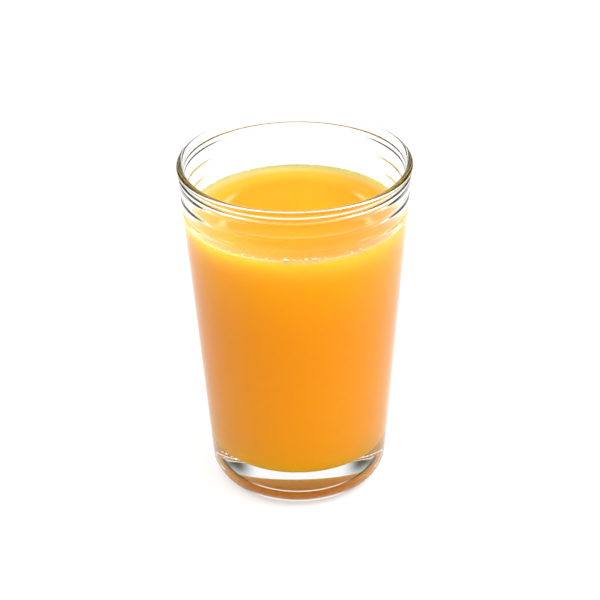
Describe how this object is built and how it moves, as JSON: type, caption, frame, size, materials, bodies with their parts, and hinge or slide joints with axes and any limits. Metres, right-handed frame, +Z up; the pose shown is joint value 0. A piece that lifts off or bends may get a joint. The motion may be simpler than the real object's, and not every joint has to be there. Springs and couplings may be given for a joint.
{
  "type": "glass of orange juice",
  "caption": "Straight-sided pressed glass tumbler with a beaded rim, moulded rings and a thick rounded base, filled with orange juice for drinking.",
  "frame": {"origin": "middle of the base, on the surface that the glass stands on", "axes": "+Z up along the axis of the glass; X and Y are alike"},
  "size_m": [0.072, 0.072, 0.11],
  "materials": {
    "clear_glass": "clear pressed glass, faintly green at its edges, fire-polished rim",
    "orange_juice": null
  },
  "bodies": {
    "root": {"glass": "clear_glass", "juice": "orange_juice"}
  },
  "joints": []
}
